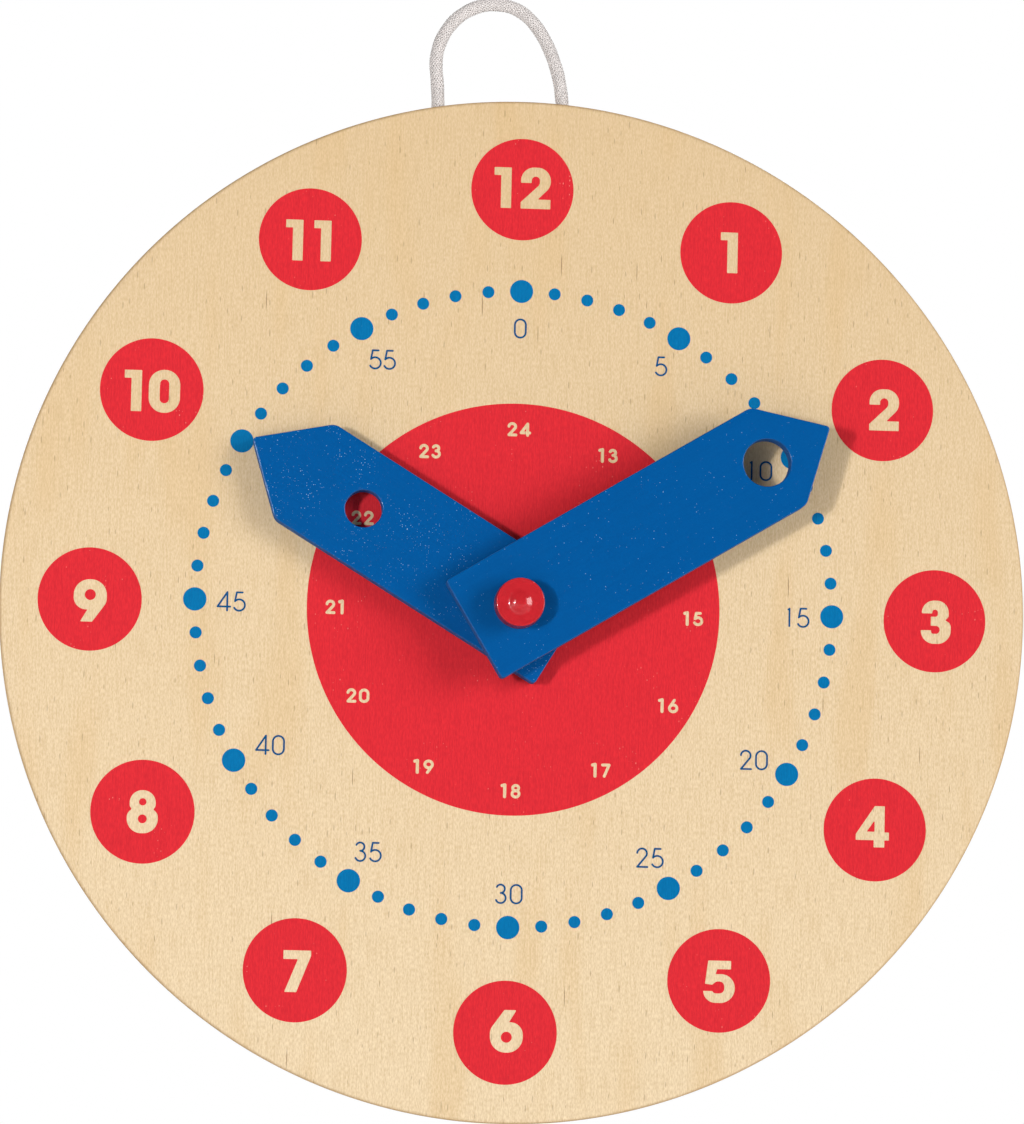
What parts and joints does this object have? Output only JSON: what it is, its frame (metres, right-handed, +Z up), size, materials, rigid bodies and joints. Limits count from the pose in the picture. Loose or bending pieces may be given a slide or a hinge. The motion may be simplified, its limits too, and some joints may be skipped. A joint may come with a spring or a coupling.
{
  "type": "teaching clock",
  "caption": "Round wooden teaching clock: a dial board, two stacked pointed hands that turn freely on one turned peg, a reading window in each hand, and a cord loop for hanging.",
  "frame": {"origin": "on the pivot axis, in the flat back face of the dial", "axes": "+X to the right of a person reading the dial, +Y out of the back towards the wall, +Z up at 12 o'clock"},
  "size_m": [0.22, 0.0228, 0.2431],
  "materials": {
    "plywood": "clear matt varnish, printed dial",
    "blue_lacquered_wood": "gloss lacquer",
    "red_lacquered_beech": "gloss lacquer",
    "washer_fibre": "plain",
    "braided_cord": "fine braid"
  },
  "bodies": {
    "dial": {"dial_disc": "plywood", "pivot_peg": "red_lacquered_beech", "dial_washer": "washer_fibre", "hand_washer": "washer_fibre", "head_washer": "washer_fibre", "hanging_cord": "braided_cord"},
    "hour": {"hour_hand": "blue_lacquered_wood"},
    "minute": {"minute_hand": "blue_lacquered_wood"}
  },
  "joints": [
    {"name": "hour_turn", "type": "hinge", "parent": "dial", "child": "hour", "pos_m": [0, -0.00895, 0], "axis": [0, 1, 0], "continuous": true},
    {"name": "minute_turn", "type": "hinge", "parent": "dial", "child": "minute", "pos_m": [0, -0.01445, 0], "axis": [0, 1, 0], "continuous": true}
  ]
}
